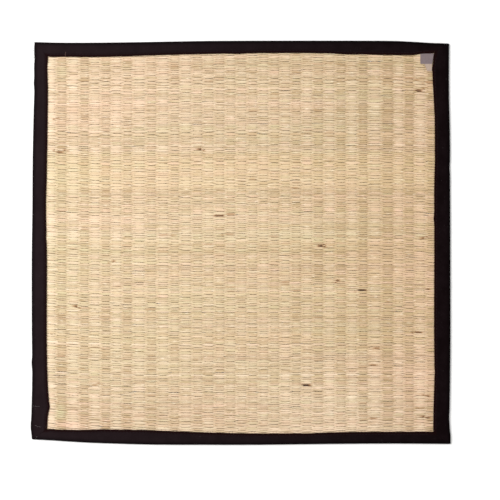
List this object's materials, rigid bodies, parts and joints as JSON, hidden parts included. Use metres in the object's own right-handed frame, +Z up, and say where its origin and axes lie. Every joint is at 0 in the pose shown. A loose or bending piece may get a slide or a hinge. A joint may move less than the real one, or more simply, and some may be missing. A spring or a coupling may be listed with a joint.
{
  "type": "tatami mat",
  "caption": "Flat near-square mat of woven rush reeds in upright columns, edged all round with folded black cloth tape and a small blank sewn label, to sit on or lay on a floor.",
  "frame": {"origin": "middle of the mat's outline, on the surface it lies on", "axes": "+X along the reeds, to the picture's right; +Y along the warp strings, to the picture's top; +Z up, out of the face with the label"},
  "size_m": [0.6062, 0.5838, 0.0059],
  "materials": {
    "reed": "dried rush, pale straw, satin skin with darker streaks",
    "binding": "near-black cotton tape, plain weave, matt",
    "label": "grey woven label tape, blank, soft satin"
  },
  "bodies": {
    "root": {"reed_panel": "reed", "binding_top": "binding", "binding_bottom": "binding", "binding_left": "binding", "binding_right": "binding", "label": "label"}
  },
  "joints": []
}
